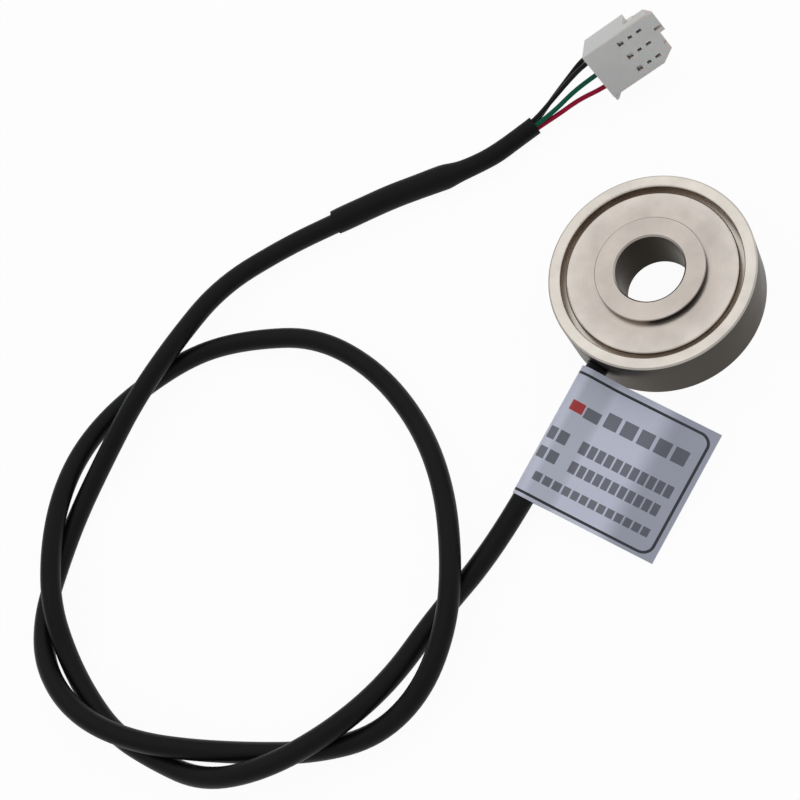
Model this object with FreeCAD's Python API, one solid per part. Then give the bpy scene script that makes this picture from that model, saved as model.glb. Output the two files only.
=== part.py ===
import FreeCAD, Part
import math
import os

# A ring-shaped weighing load cell with its signal cable. Millimetres. The origin is the middle of
# the ring's foot, +Z is the way the load is pressed on from, and the cable leaves towards -X.

V = FreeCAD.Vector

# Ring, outside
RING_R = 15.0           # outer radius
RIM_TOP = 9.7           # rim above the foot
RIM_WIDTH = 1.8         # flat top of the outer wall, out to in
GROOVE_WIDTH = 0.7      # the slot that frees the diaphragm from the wall
GROOVE_DEPTH = 2.5      # slot below the rim
FLOOR_DROP = 0.4        # diaphragm below the rim
HUB_R = 8.0             # load boss
HUB_RISE = 0.8          # load boss above the rim
BORE_R = 5.0            # through bore
EDGE = 0.25             # chamfer on the ring's outer corners
HUB_EDGE = 0.12         # chamfer on the boss and the bore's lower mouth
BORE_EDGE = 0.25        # chamfer on the bore's upper mouth
GROOVE_ROUND = 0.28     # rounding of the rim into the slot
SHOULDER_ROUND = 0.4    # rounding of the diaphragm into the slot

# Ring, underside
WEB = 2.9               # thickness of the diaphragm that bends
HUB_LIFT = 1.3          # boss above the foot, so that the boss can travel
SKIRT = 2.9             # wall between the bore and the gauge chamber
CHAMBER_WALL = 2.9      # outer wall beside the gauge chamber
LEDGE = 0.7             # step that carries the cover
COVER_LIFT = 1.4        # cover above the foot
COVER_T = 0.9           # cover thickness
COVER_FIT = 0.05        # cover's gap in its recess
SEAL_WIDTH = 0.4        # soft ring between the cover and the boss

# Gauges and their leads, bonded to the ceiling of the chamber
GAUGE_ANGLES = (45.0, 135.0, 225.0, 315.0)
GAUGE_WIDTH = 2.4
FILM_T = 0.08           # backing film
FOIL_T = 0.04           # etched foil under it
GAUGE_START = 0.3       # film's gap to the boss skirt
GAUGE_LANE = 1.1        # film's gap to the chamber wall, where the leads run
GRID_STRANDS = 7
LEAD_WIDTH = 0.38       # two enamelled wires bonded side by side in one flat ribbon
LEAD_T = 0.2
LEAD_GAP = 0.12         # outer ribbon's gap to the chamber wall
LEAD_LANE = 0.46        # from one ribbon to the next

# Terminal board beside the cable's entry
BOARD_FROM = 194.0
BOARD_TO = 216.0
BOARD_T = 0.8
BOARD_INSET = 0.5       # gap to the skirt
BOARD_MARGIN = 0.2      # gap to the chamber wall
CHIP = (1.6, 0.8, 0.45)
CHIP_CAP = 0.3
CHIP_MARGIN = 0.3       # chips to the board's outer edge
CHIP_ANGLES = (199.0, 209.0)

# Cable and its entry
CABLE_R = 1.6
CABLE_Z = 4.3           # entry above the foot
CABLE_TAIL = 1.3        # cable past the chamber wall
SEAL_T = 0.15           # silicone sleeve in the entry hole
SEAL_SHORT = 0.15       # sleeve ends inside both mouths
FERRULE_T = 0.2         # crimped ring that stops the cable from pulling out
FERRULE_LENGTH = 0.8
FERRULE_INSET = 0.35    # ferrule's near edge past the chamber wall
CORE_R = 0.375
CORE_SPREAD = 0.41      # middle of the cable to each core, sideways and up

CABLE_ROUTE = (
    (-16.5, 0.0, 4.3), (-26.7, -0.9, 3.2), (-45.4, -2.6, 1.6), (-57.2, -1.8, 1.6),
    (-68.8, -1.9, 2.5), (-79.1, -0.5, 4.9), (-89.5, 4.0, 5.05), (-97.0, 11.3, 3.0),
    (-99.9, 20.6, 1.6), (-101.2, 28.4, 1.6), (-100.0, 36.0, 1.6), (-97.2, 43.1, 2.6),
    (-92.8, 49.4, 4.7), (-86.9, 55.4, 5.05), (-80.3, 61.0, 4.4), (-72.8, 64.9, 2.8),
    (-64.5, 65.1, 1.7), (-55.5, 62.4, 1.6), (-47.0, 58.3, 1.6), (-40.5, 51.8, 1.6),
    (-34.5, 42.6, 1.6), (-33.7, 31.0, 1.6), (-36.6, 19.3, 2.1), (-41.7, 8.9, 3.7),
    (-49.2, 0.3, 5.05), (-57.2, -5.3, 5.05), (-66.8, -7.6, 3.7), (-75.8, -5.7, 2.2),
    (-83.5, 0.8, 1.6), (-89.6, 9.0, 1.7), (-95.0, 16.2, 3.6), (-99.2, 22.7, 5.0),
    (-101.8, 30.7, 5.15), (-101.7, 38.3, 4.8), (-99.6, 45.5, 3.2), (-95.1, 51.3, 1.8),
    (-88.4, 55.0, 1.6), (-80.3, 58.5, 1.6), (-70.5, 60.2, 2.7), (-59.7, 60.5, 4.95),
    (-48.5, 60.8, 5.1), (-36.8, 62.0, 3.0), (-25.5, 57.5, 1.8), (-17.4, 52.2, 2.05),
    (-9.4, 47.0, 2.05), (-2.0, 41.1, 2.05),
)

# Shrink sleeve over the end of the cable, and the four cores after it
SLEEVE_R = 2.0          # over the cable
SLEEVE_START = (-17.4, 52.2, 2.05)
NECK_R = 1.55           # over the cores alone
NECK_BORE = 1.1
STEP_LENGTH = 1.6
NECK_LEAD = 3.1         # cores run straight on from the cable before the neck bends
NECK_ROUTE = ((5.2, 36.4, 1.85), (12.4, 33.8, 2.0))
CORE_ROUTES = {
    "core_black_1": ((16.9, 33.8, 3.2), (20.4, 32.6, 5.0)),
    "core_black_2": ((16.9, 33.0, 2.5), (20.6, 32.3, 4.0)),
    "core_green": ((16.1, 32.1, 2.7), (19.4, 31.0, 3.7)),
    "core_red": ((15.8, 31.6, 2.0), (19.3, 30.0, 2.5)),
}
CORE_SEATS = {          # side and height in the bundle, then row and layer in the connector
    "core_black_1": (1, 1, 2, 1),
    "core_black_2": (1, -1, 2, 0),
    "core_green": (-1, 1, 1, 1),
    "core_red": (-1, -1, 0, 1),
}

# Label wrapped round the cable and stuck to itself as a flag
LABEL_FROM = (-16.1, 0.0, 4.25)
LABEL_TO = (-36.5, -1.83, 2.31)
LABEL_BORE = 1.95       # inside radius of the wrap
LABEL_PLY = 0.15
LABEL_MEET = 3.4        # cable's middle to where the two plies meet
LABEL_REACH = 21.4      # cable's middle to the flag's edge
LABEL_FALL = 1.7        # flag's edge below the cable's middle

# Connector: two layers of three ways
PITCH = 2.54
ROWS = 3
WAY_EDGE = 1.66         # first row to the housing's side
FAR_EDGE = 1.66         # last row to the other side
LAYER_EDGE = 1.5        # each layer to its face
HOUSING_LENGTH = 11.0
CAVITY = 1.95           # square hole that takes a terminal
CAVITY_DEPTH = 8.4
MOUTH = 1.2             # square hole that takes the mating pin
NOTCH = 0.5             # slot between the lobes of the mating end
NOTCH_DEPTH = 2.0
WINDOWS = ((5.3, 0.95, 0.8), (7.0, 0.7, 0.5), (8.6, 0.9, 0.45))
REBATE = (4.1, 0.4, 3.1) # step in the far side, at the back: length, depth, width
LOBE = (0.9, 4.6, 8.0)  # lobe of the last row past the end: length, near side, far side
BEVEL = (2.4, 1.5)      # near corner of the mating end: along, across
WEDGE = (1.3, 0.75, 3.0) # grip at the wire end of the near side: length, height, width
HOUSING_EDGE = 0.25
HOUSING_CORNER = (22.6, 24.82, 2.93)
HOUSING_ALONG = (0.807, -0.518, 0.283)
HOUSING_ROWS = (0.090, 0.582, 0.808)

# Crimp terminal
BARREL_START = 0.9
BARREL_LENGTH = 1.9
BARREL_T = 0.14
SPRING_START = 3.9
SPRING_END = 8.2
SPRING_SIDE = 1.5
SPRING_T = 0.2
CORE_INTO = 2.6         # core past the housing's wire end
CORE_LEAD_IN = 1.2      # where the core turns into its way

# Radii and heights that follow from the sizes above
GROOVE_OUT = RING_R - RIM_WIDTH
GROOVE_IN = GROOVE_OUT - GROOVE_WIDTH
FLOOR_Z = RIM_TOP - FLOOR_DROP
HUB_TOP = RIM_TOP + HUB_RISE
CEILING = FLOOR_Z - WEB
SKIRT_R = BORE_R + SKIRT
CHAMBER_R = RING_R - CHAMBER_WALL
RECESS_R = CHAMBER_R + LEDGE
COVER_TOP = COVER_LIFT + COVER_T
GAUGE_END = CHAMBER_R - GAUGE_LANE
HOUSING_WIDTH = WAY_EDGE + PITCH * (ROWS - 1) + FAR_EDGE
HOUSING_DEPTH = 2 * LAYER_EDGE + PITCH
CABLE_END = -(CHAMBER_R - CABLE_TAIL)


def box(x0, x1, y0, y1, z0, z1):
    return Part.makeBox(x1 - x0, y1 - y0, z1 - z0, V(x0, y0, z0))


def tube(outer, inner, length, start, along):
    rod = Part.makeCylinder(outer, length, start, along)
    return rod.cut(Part.makeCylinder(inner, length, start, along))


def polygon_face(points):
    knots = [V(*p) for p in points]
    return Part.Face(Part.makePolygon(knots + [knots[0]]))


def ring_between(inner, outer, bottom, top):
    face = polygon_face(((inner, 0, bottom), (outer, 0, bottom), (outer, 0, top), (inner, 0, top)))
    return face.revolve(V(0, 0, 0), V(0, 0, 1), 360)


def turned(shape, degrees):
    copy = shape.copy()
    copy.rotate(V(0, 0, 0), V(0, 0, 1), degrees)
    return copy


def rounded_route(points, share=0.45):
    """Straight runs joined by tangent arcs, each arc as large as its two runs allow."""
    knots = [V(*p) for p in points]
    edges = []
    radii = []
    here = knots[0]
    for before, corner, after in zip(knots, knots[1:], knots[2:]):
        way_in = corner - before
        way_out = after - corner
        reach = share * min(way_in.Length, way_out.Length)
        way_in.normalize()
        way_out.normalize()
        half_turn = way_in.getAngle(way_out) / 2
        radius = reach / math.tan(half_turn)
        inward = (way_out - way_in).normalize()
        middle = corner + inward * (radius / math.cos(half_turn) - radius)
        start = corner - way_in * reach
        end = corner + way_out * reach
        edges.append(Part.LineSegment(here, start).toShape())
        edges.append(Part.Arc(start, middle, end).toShape())
        radii.append(radius)
        here = end
    edges.append(Part.LineSegment(here, knots[-1]).toShape())
    return edges, radii


def rod_along(edges, radius):
    path = Part.Wire(edges)
    start = path.Edges[0].valueAt(path.Edges[0].FirstParameter)
    along = path.Edges[0].tangentAt(path.Edges[0].FirstParameter)
    circle = Part.Wire([Part.Circle(start, along, radius).toShape()])
    return path.makePipeShell([circle], True, False)


def sensing_body():
    """Turned steel ring: bore, load boss, diaphragm, slot and rim above; gauge chamber below."""
    rim_in = V(GROOVE_OUT, 0, RIM_TOP - GROOVE_ROUND)
    rim_out = V(GROOVE_OUT + GROOVE_ROUND, 0, RIM_TOP)
    lean = GROOVE_ROUND * (1 - math.sqrt(0.5))
    rim_mid = V(GROOVE_OUT + lean, 0, RIM_TOP - lean)
    floor_out = V(GROOVE_IN - SHOULDER_ROUND, 0, FLOOR_Z)
    floor_in = V(GROOVE_IN, 0, FLOOR_Z - SHOULDER_ROUND)
    lean = SHOULDER_ROUND * (1 - math.sqrt(0.5))
    floor_mid = V(GROOVE_IN - lean, 0, FLOOR_Z - lean)
    groove_z = RIM_TOP - GROOVE_DEPTH
    top = [V(BORE_R, 0, HUB_LIFT + HUB_EDGE), V(BORE_R, 0, HUB_TOP - BORE_EDGE),
           V(BORE_R + BORE_EDGE, 0, HUB_TOP), V(HUB_R - HUB_EDGE, 0, HUB_TOP),
           V(HUB_R, 0, HUB_TOP - HUB_EDGE), V(HUB_R, 0, FLOOR_Z), floor_out]
    slot = [floor_in, V(GROOVE_IN, 0, groove_z), V(GROOVE_OUT, 0, groove_z), rim_in]
    under = [rim_out, V(RING_R - EDGE, 0, RIM_TOP), V(RING_R, 0, RIM_TOP - EDGE),
             V(RING_R, 0, EDGE), V(RING_R - EDGE, 0, 0), V(RECESS_R, 0, 0),
             V(RECESS_R, 0, COVER_TOP), V(CHAMBER_R, 0, COVER_TOP), V(CHAMBER_R, 0, CEILING),
             V(SKIRT_R, 0, CEILING), V(SKIRT_R, 0, HUB_LIFT), V(BORE_R + HUB_EDGE, 0, HUB_LIFT),
             V(BORE_R, 0, HUB_LIFT + HUB_EDGE)]
    edges = Part.makePolygon(top).Edges
    edges.append(Part.Arc(floor_out, floor_mid, floor_in).toShape())
    edges += Part.makePolygon(slot).Edges
    edges.append(Part.Arc(rim_in, rim_mid, rim_out).toShape())
    edges += Part.makePolygon(under).Edges
    body = Part.Face(Part.Wire(edges)).revolve(V(0, 0, 0), V(0, 0, 1), 360)
    hole = Part.makeCylinder(CABLE_R + SEAL_T, CHAMBER_WALL + 2, V(-RING_R - 1, 0, CABLE_Z), V(1, 0, 0))
    return body.cut(hole)


def base_cover():
    """Annular cover that closes the gauge chamber, seated on the ledge."""
    return ring_between(SKIRT_R + SEAL_WIDTH, RECESS_R - COVER_FIT, COVER_LIFT, COVER_TOP)


def cover_seal():
    """Soft ring that lets the boss travel inside the cover."""
    return ring_between(SKIRT_R, SKIRT_R + SEAL_WIDTH, COVER_LIFT, COVER_TOP)


def strain_gauge(angle):
    """Film with an etched grid of strands that run along the radius, and two tabs at the rim end."""
    start = SKIRT_R + GAUGE_START
    end = GAUGE_END
    half = GAUGE_WIDTH / 2
    film = box(start, end, -half, half, CEILING - FILM_T, CEILING)
    foil_z = CEILING - FILM_T - FOIL_T
    margin = GAUGE_WIDTH / 12
    step = (GAUGE_WIDTH - 2 * margin) / (GRID_STRANDS - 0.5)
    grid_start = start + (end - start) / 10
    grid_end = start + (end - start) * 0.7
    loop = (end - start) / 18
    foils = []
    for i in range(GRID_STRANDS):
        y = -half + margin + step * i
        foils.append(box(grid_start, grid_end, y, y + step / 2, foil_z, CEILING - FILM_T))
    for i in range(GRID_STRANDS - 1):
        y = -half + margin + step * i
        x = grid_end - loop if i % 2 else grid_start
        foils.append(box(x, x + loop, y, y + 1.5 * step, foil_z, CEILING - FILM_T))
    tab = GAUGE_WIDTH / 3
    for y in (-half + margin, half - margin - tab):
        foils.append(box(grid_end, end - loop, y, y + tab, foil_z, CEILING - FILM_T))
    return turned(film.multiFuse(foils).removeSplitter(), angle)


def gauge_lead(angle, board_angle, lane):
    """Bonded pair of enamelled wires, round the chamber to the board, with a leg to the gauge."""
    outer = CHAMBER_R - LEAD_GAP - lane * LEAD_LANE
    inner = outer - LEAD_WIDTH
    low = CEILING - LEAD_T
    face = polygon_face(((inner, 0, low), (outer, 0, low), (outer, 0, CEILING), (inner, 0, CEILING)))
    run = face.revolve(V(0, 0, 0), V(0, 0, 1), board_angle - angle)
    half = LEAD_WIDTH / 2
    leg = box(GAUGE_END, (inner + outer) / 2, -half, half, low, CEILING)
    return turned(run.fuse(leg).removeSplitter(), angle)


def terminal_board():
    inner = SKIRT_R + BOARD_INSET
    outer = CHAMBER_R - BOARD_MARGIN
    face = polygon_face(((inner, 0, CEILING - BOARD_T), (outer, 0, CEILING - BOARD_T),
                         (outer, 0, CEILING), (inner, 0, CEILING)))
    return turned(face.revolve(V(0, 0, 0), V(0, 0, 1), BOARD_TO - BOARD_FROM), BOARD_FROM)


def chip_resistor(angle):
    length, width, height = CHIP
    outer = CHAMBER_R - BOARD_MARGIN - CHIP_MARGIN
    under = CEILING - BOARD_T
    half = length / 2
    parts = []
    for y in (-half, half - CHIP_CAP):
        parts.append(box(outer - width, outer, y, y + CHIP_CAP, under - height, under))
    inset = 0.04
    body = box(outer - width + inset, outer - inset, -half + CHIP_CAP / 2, half - CHIP_CAP / 2,
               under - height + inset, under)
    return turned(body.multiFuse(parts), angle)


def cable_ferrule():
    start = V(-(CHAMBER_R - FERRULE_INSET), 0, CABLE_Z)
    return tube(CABLE_R + FERRULE_T, CABLE_R, FERRULE_LENGTH, start, V(1, 0, 0))


def exit_seal():
    start = V(-RING_R + SEAL_SHORT, 0, CABLE_Z)
    return tube(CABLE_R + SEAL_T, CABLE_R, CHAMBER_WALL - 2 * SEAL_SHORT, start, V(1, 0, 0))


def inner_core(side, height):
    """Core from the cable's end, round to the underside of the board."""
    y = side * CORE_SPREAD
    z = CABLE_Z + height * CORE_SPREAD
    x = CABLE_END
    pad_z = CEILING - BOARD_T - CORE_R
    if side < 0:
        points = [(x, y, z), (x + 0.4, y, z), (x + 1.05, y - 1.0, z), (x + 1.15, y - 2.1, z)]
    else:
        points = [(x, y, z), (x + 1.0, y, z), (x + 1.75, y - 1.0, z), (x + 2.0, y - 2.3, z)]
    if height > 0:
        points.append((points[-1][0], -3.4, pad_z))
    else:
        points.append((points[-1][0] + 0.15, -3.3, z + 0.1))
        points.append((points[-1][0] + 0.25, -4.2, pad_z))
        points.append((points[-1][0] + 0.2, -4.8, pad_z))
    edges, radii = rounded_route(points)
    return rod_along(edges, CORE_R)


def cable_points():
    return ((CABLE_END, 0, CABLE_Z),) + CABLE_ROUTE


def cable():
    edges, radii = rounded_route(cable_points())
    print("cable length %.1f, smallest radius %.1f" % (sum(e.Length for e in edges), min(radii)))
    return rod_along(edges, CABLE_R)


def label_frame():
    """The wrap's own axes: along the cable, out to the flag's edge, and up."""
    along = (V(*LABEL_TO) - V(*LABEL_FROM)).normalize()
    out = V(0, 0, 1).cross(along).normalize()
    return FreeCAD.Placement(V(*LABEL_FROM), FreeCAD.Rotation(along, out, along.cross(out), "XYZ"))


def drop_shape(radius, apex, tilt):
    """Circle round the cable with two tangents that meet at the apex."""
    lean = math.acos(radius / apex)
    tip = V(0, apex * math.cos(tilt), apex * math.sin(tilt))
    low = V(0, radius * math.cos(tilt - lean), radius * math.sin(tilt - lean))
    high = V(0, radius * math.cos(tilt + lean), radius * math.sin(tilt + lean))
    back = V(0, -radius * math.cos(tilt), -radius * math.sin(tilt))
    edges = [Part.LineSegment(tip, high).toShape(), Part.Arc(high, back, low).toShape(),
             Part.LineSegment(low, tip).toShape()]
    return Part.Face(Part.Wire(edges))


def cable_label():
    """One strip taken round the cable and stuck to itself, so that it stands out as a flag."""
    length = (V(*LABEL_TO) - V(*LABEL_FROM)).Length
    tilt = -math.atan2(LABEL_FALL, LABEL_REACH)
    outer_r = LABEL_BORE + LABEL_PLY
    outer = drop_shape(outer_r, LABEL_MEET * outer_r / LABEL_BORE, tilt)
    inner = drop_shape(LABEL_BORE, LABEL_MEET, tilt)
    way = V(0, math.cos(tilt), math.sin(tilt))
    rise = V(0, -math.sin(tilt), math.cos(tilt)) * LABEL_PLY
    corners = [way * LABEL_MEET - rise, way * LABEL_REACH - rise,
               way * LABEL_REACH + rise, way * LABEL_MEET + rise]
    flag = Part.Face(Part.makePolygon(corners + [corners[0]]))
    section = outer.extrude(V(length, 0, 0)).fuse(flag.extrude(V(length, 0, 0)))
    label = section.cut(inner.extrude(V(length, 0, 0))).removeSplitter()
    label.Placement = label_frame()
    return label


def neck_knots():
    """Middle line of the core bundle, in line with the cable's end at first."""
    shoulder = V(*CABLE_ROUTE[-1])
    along = (shoulder - V(*CABLE_ROUTE[-2])).normalize()
    return [shoulder, shoulder + along * NECK_LEAD] + [V(*p) for p in NECK_ROUTE]


def shrink_sleeve():
    """Two diameters in one tube: over the cable, then drawn down over the cores."""
    tail = CABLE_ROUTE[-4:]
    over_cable, radii = rounded_route(tail)
    thick = rod_along(over_cable, SLEEVE_R).cut(rod_along(over_cable, CABLE_R))
    back = (V(*tail[1]) - V(*tail[2])).normalize()
    thick = thick.cut(Part.makeCylinder(3 * SLEEVE_R, 20, V(*SLEEVE_START), back))
    knots = neck_knots()
    along = (knots[1] - knots[0]).normalize()
    step_end = knots[0] + along * STEP_LENGTH
    step = Part.makeCone(SLEEVE_R, NECK_R, STEP_LENGTH, knots[0], along)
    step = step.cut(Part.makeCylinder(NECK_BORE, STEP_LENGTH, knots[0], along))
    over_cores, radii = rounded_route([tuple(k) for k in knots])
    over_cores[0] = Part.LineSegment(step_end, over_cores[0].Vertexes[1].Point).toShape()
    neck = rod_along(over_cores, NECK_R).cut(rod_along(over_cores, NECK_BORE))
    return thick.multiFuse([step, neck])


def housing_frame():
    along = V(*HOUSING_ALONG).normalize()
    rows = V(*HOUSING_ROWS)
    rows = (rows - along * rows.dot(along)).normalize()
    normal = along.cross(rows)
    corner = V(*HOUSING_CORNER) - normal * HOUSING_DEPTH
    return FreeCAD.Placement(corner, FreeCAD.Rotation(along, rows, normal, "XYZ"))


def way_axis(row, layer):
    return WAY_EDGE + PITCH * row, LAYER_EDGE + PITCH * layer


def connector_housing():
    """Moulded housing: six ways, windows over each row, lobes at the mating end."""
    body = box(0, HOUSING_LENGTH, 0, HOUSING_WIDTH, 0, HOUSING_DEPTH)
    rims = [e for e in body.Edges if abs(e.tangentAt(0).x) > 0.9]
    body = body.makeFillet(HOUSING_EDGE, rims)
    length, height, width = WEDGE
    near = HOUSING_DEPTH - HOUSING_EDGE
    wedge = polygon_face(((0, 0.5, near), (0, -height, near), (0.4, -height, near),
                          (length, 0, near), (length, 0.5, near))).extrude(V(0, 0, -width))
    length, low, high = LOBE
    lobe = box(HOUSING_LENGTH - 1, HOUSING_LENGTH + length, low, high, 0, HOUSING_DEPTH)
    body = body.multiFuse([lobe, wedge])
    length, depth, width = REBATE
    body = body.cut(box(HOUSING_LENGTH - length, HOUSING_LENGTH, HOUSING_WIDTH - depth,
                        HOUSING_WIDTH + 1, -1, width))
    length, depth = BEVEL
    bevel = polygon_face(((HOUSING_LENGTH - length, 0, -1), (HOUSING_LENGTH + 1, 0, -1),
                          (HOUSING_LENGTH + 1, depth, -1), (HOUSING_LENGTH, depth, -1)))
    body = body.cut(bevel.extrude(V(0, 0, HOUSING_DEPTH + 2)))
    for row in range(ROWS - 1):
        y = WAY_EDGE + PITCH * (row + 0.5)
        body = body.cut(box(HOUSING_LENGTH - NOTCH_DEPTH, HOUSING_LENGTH + 1, y - NOTCH / 2,
                            y + NOTCH / 2, -1, HOUSING_DEPTH + 1))
    holes = []
    for row in range(ROWS):
        for layer in range(2):
            y, z = way_axis(row, layer)
            half = CAVITY / 2
            holes.append(box(-1, CAVITY_DEPTH, y - half, y + half, z - half, z + half))
            half = MOUTH / 2
            holes.append(box(1, HOUSING_LENGTH + 1, y - half, y + half, z - half, z + half))
            face = -1 if layer == 0 else z
            for middle, along, across in WINDOWS:
                holes.append(box(middle - along / 2, middle + along / 2, y - across / 2,
                                 y + across / 2, face, face + LAYER_EDGE + 1))
    body = body.cut(holes[0].multiFuse(holes[1:]))
    body.Placement = housing_frame()
    return body


def crimp_terminal(row, layer):
    """Barrel closed on the core, a spine, and the square spring box that takes the pin."""
    y, z = way_axis(row, layer)
    barrel = tube(CORE_R + BARREL_T, CORE_R, BARREL_LENGTH, V(BARREL_START, y, z), V(1, 0, 0))
    half = SPRING_SIDE / 2
    spring = box(SPRING_START, SPRING_END, y - half, y + half, z - half, z + half)
    half -= SPRING_T
    spring = spring.cut(box(SPRING_START, SPRING_END, y - half, y + half, z - half, z + half))
    low = z - SPRING_SIDE / 2
    spine = box(BARREL_START, SPRING_START + 0.5, y - 0.35, y + 0.35, low, z - CORE_R)
    core = Part.makeCylinder(CORE_R, SPRING_START, V(0, y, z), V(1, 0, 0))
    terminal = barrel.multiFuse([spring, spine.cut(core)])
    terminal.Placement = housing_frame()
    return terminal


def core(name):
    """Core from the cable's end, through the sleeve, to its terminal."""
    side, height, row, layer = CORE_SEATS[name]
    points = []
    knots = neck_knots()
    for i, knot in enumerate(knots):
        ahead = knots[min(i + 1, len(knots) - 1)] - knots[max(i - 1, 0)]
        across = V(0, 0, 1).cross(ahead).normalize()
        up = ahead.cross(across).normalize()
        points.append(tuple(knot + across * side * CORE_SPREAD + up * height * CORE_SPREAD))
    points += CORE_ROUTES[name]
    y, z = way_axis(row, layer)
    seat = housing_frame()
    points.append(tuple(seat.multVec(V(-CORE_LEAD_IN, y, z))))
    points.append(tuple(seat.multVec(V(CORE_INTO, y, z))))
    edges, radii = rounded_route(points)
    print(name, "length %.1f, smallest radius %.2f" % (sum(e.Length for e in edges), min(radii)),
          [tuple(round(v, 2) for v in p) for p in points])
    return rod_along(edges, CORE_R)


def build():
    pieces = {
        "sensing_body": sensing_body(),
        "base_cover": base_cover(),
        "cover_seal": cover_seal(),
        "terminal_board": terminal_board(),
        "span_resistor": chip_resistor(CHIP_ANGLES[0]),
        "zero_resistor": chip_resistor(CHIP_ANGLES[1]),
        "cable_ferrule": cable_ferrule(),
        "exit_seal": exit_seal(),
        "inner_core_black_1": inner_core(-1, 1),
        "inner_core_black_2": inner_core(1, 1),
        "inner_core_green": inner_core(-1, -1),
        "inner_core_red": inner_core(1, -1),
        "cable": cable(),
        "cable_label": cable_label(),
        "shrink_sleeve": shrink_sleeve(),
        "connector_housing": connector_housing(),
    }
    for i, angle in enumerate(GAUGE_ANGLES):
        pieces["strain_gauge_%d" % (i + 1)] = strain_gauge(angle)
        board_angle = BOARD_FROM if angle < 180 else BOARD_TO
        lane = 1 if abs(angle - board_angle) < 90 else 0
        pieces["gauge_lead_%d" % (i + 1)] = gauge_lead(angle, board_angle, lane)
    for i, name in enumerate(sorted(CORE_SEATS)):
        side, height, row, layer = CORE_SEATS[name]
        pieces[name] = core(name)
        pieces["crimp_terminal_%d" % (i + 1)] = crimp_terminal(row, layer)
    return pieces


os.makedirs("parts", exist_ok=True)
for name, shape in build().items():
    shape.exportStep("parts/%s.step" % name)
    box_ = shape.BoundBox
    print("%-20s %s solids %d volume %.3f z %.2f to %.2f" % (
        name, shape.isValid(), len(shape.Solids), shape.Volume, box_.ZMin, box_.ZMax))
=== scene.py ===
# %% [markdown]
# # A ring load cell, dressed from its CAD
#
# The part is a turned steel ring that weighs what presses on its boss, with a thin signal cable that
# lies in a little over one and a half loose turns and ends in a small crimp connector. The CAD gives
# every solid in its place. Here the loose pieces (cable, cores, sleeve, label) are made again as soft
# things, the moulded housing gets its draft, and each surface gets its finish. Places on the part are
# written in millimetres, and MM turns them into Blender's metres.

# %% Load the frame
import bpy
import math
from mathutils import Matrix, Vector


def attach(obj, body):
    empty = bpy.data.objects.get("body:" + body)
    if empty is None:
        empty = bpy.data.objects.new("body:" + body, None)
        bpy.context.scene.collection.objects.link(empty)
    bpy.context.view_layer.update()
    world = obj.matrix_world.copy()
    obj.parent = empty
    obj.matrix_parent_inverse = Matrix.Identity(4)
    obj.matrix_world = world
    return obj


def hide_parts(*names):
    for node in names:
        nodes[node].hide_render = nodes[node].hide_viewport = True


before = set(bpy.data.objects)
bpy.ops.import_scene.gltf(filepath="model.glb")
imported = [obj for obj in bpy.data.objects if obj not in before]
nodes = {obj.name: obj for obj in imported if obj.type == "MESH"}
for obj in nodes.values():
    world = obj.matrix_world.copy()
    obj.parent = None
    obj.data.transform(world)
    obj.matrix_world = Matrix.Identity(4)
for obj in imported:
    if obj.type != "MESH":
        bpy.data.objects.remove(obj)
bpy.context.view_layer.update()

print("CAD nodes:", len(nodes))

# %% [markdown]
# ## Camera
#
# The photograph was taken from above, with the ring at the right. A camera could be aimed at a target,
# but that leaves its roll open. Its place was found from the ring's ellipses, so here it is given by
# its position and its three axes. A 72 mm lens on a 36 mm sensor has the same field of view as the
# photograph.

# %% Camera
MM = 0.001
CAMERA_PLACE = Vector((-50.18, -89.39, 216.23))
camera_right = Vector((0.60077, -0.72381, -0.33937))
camera_up = Vector((0.79698, 0.50915, 0.32495))
camera_back = camera_right.cross(camera_up)
camera_data = bpy.data.cameras.new("photo_camera")
camera_data.lens = 72
camera_data.sensor_width = 36
camera_data.clip_start = 0.01
camera = bpy.data.objects.new("photo_camera", camera_data)
bpy.context.scene.collection.objects.link(camera)
turn = Matrix((camera_right, camera_up, camera_back)).transposed().to_4x4()
camera.matrix_world = Matrix.Translation(CAMERA_PLACE * MM) @ turn
bpy.context.scene.camera = camera
print("camera at", tuple(round(v, 4) for v in camera.location))

# %% [markdown]
# ## Cable and cores
#
# A cable is one smooth line of fixed length. It could be a bent tube of mesh, but a curve with a round
# bevel is easier to lead and to measure. The points of its route are control points of a NURBS spline,
# which rounds them as a springy jacket does. The bevel is one metre deep, so that each point's radius
# is the real one. The same helper makes the cable, the four thin cores and the sleeve.

# %% Cord helper
def cord_curve(name, points, radii, sides=6):
    """A round cord along the points, in millimetres, with a radius at each point."""
    curve = bpy.data.curves.new(name, "CURVE")
    curve.dimensions = "3D"
    curve.bevel_depth = 1.0
    curve.bevel_resolution = sides
    curve.resolution_u = 8
    curve.use_fill_caps = True
    spline = curve.splines.new("NURBS")
    spline.points.add(len(points) - 1)
    for point, place, radius in zip(spline.points, points, radii):
        point.co = (place[0] * MM, place[1] * MM, place[2] * MM, 1)
        point.radius = radius * MM
    spline.order_u = 3
    spline.use_endpoint_u = True
    cord = bpy.data.objects.new(name, curve)
    bpy.context.scene.collection.objects.link(cord)
    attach(cord, "root")
    return cord


# %% [markdown]
# A cord's length is a fact of the object, so it is measured on what was made: without its bevel the
# curve turns into a bare line of edges, and their lengths are added up.

# %% Length of a cord
def line_length(cord):
    """Length of the middle of a cord, in millimetres."""
    bare = cord.data.copy()
    bare.bevel_depth = 0
    probe = bpy.data.objects.new("probe", bare)
    line = bpy.data.meshes.new_from_object(probe)
    places = [vertex.co.copy() for vertex in line.vertices]
    bpy.data.objects.remove(probe)
    bpy.data.curves.remove(bare)
    bpy.data.meshes.remove(line)
    return sum((b - a).length for a, b in zip(places, places[1:])) / MM


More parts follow.
